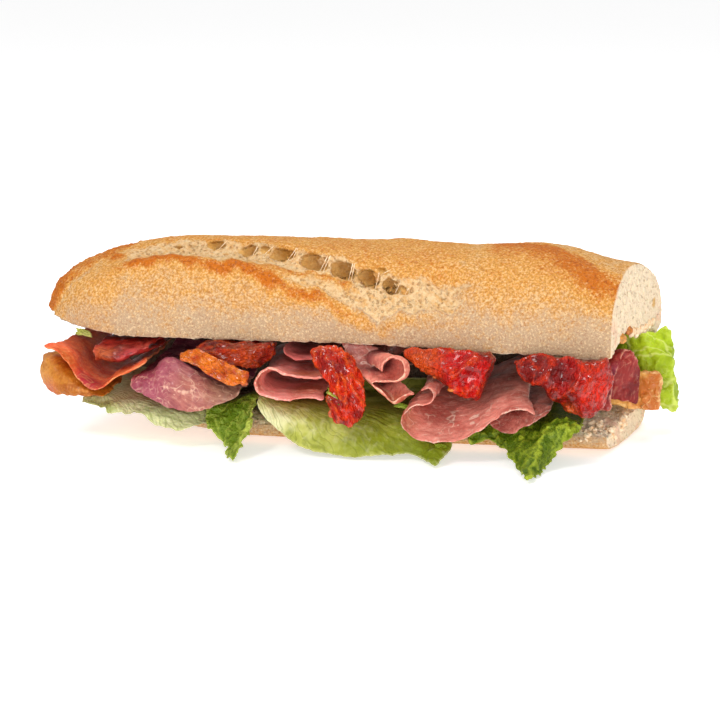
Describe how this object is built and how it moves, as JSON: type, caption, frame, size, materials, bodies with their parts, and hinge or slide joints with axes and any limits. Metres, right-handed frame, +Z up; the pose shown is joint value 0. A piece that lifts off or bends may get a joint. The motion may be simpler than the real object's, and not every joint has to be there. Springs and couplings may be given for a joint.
{
  "type": "sandwich",
  "caption": "Filled half baguette with a slashed crust, cut at one end, holding cured ham, dried tomatoes and lettuce that hang over its open front.",
  "frame": {"origin": "on the flat of the base that the sandwich rests on, under the middle of the loaf", "axes": "+X along the loaf from its round tip to its cut end, -Y out of the open front, +Z up"},
  "size_m": [0.234, 0.1067, 0.0715],
  "materials": {
    "crust": "matt, floured",
    "crumb": "matt, porous",
    "leaf": "satin",
    "ham": "moist satin",
    "tomato": "oily gloss"
  },
  "bodies": {
    "root": {"bread_top": "crust", "bread_base": "crumb", "leaf_left": "leaf", "leaf_frill": "leaf", "leaf_middle": "leaf", "leaf_right": "leaf", "leaf_end": "leaf", "ham_fat_left": "ham", "ham_v": "ham", "ham_lobe": "ham", "ham_purple": "ham", "ham_mid_back": "ham", "ham_mid_fold": "ham", "ham_roll": "ham", "ham_big": "ham", "ham_fan": "ham", "ham_end": "ham", "ham_fat_end": "ham", "tomato_orange": "tomato", "tomato_flap": "tomato", "tomato_centre": "tomato", "tomato_mid_right": "tomato", "tomato_right": "tomato"}
  },
  "joints": []
}
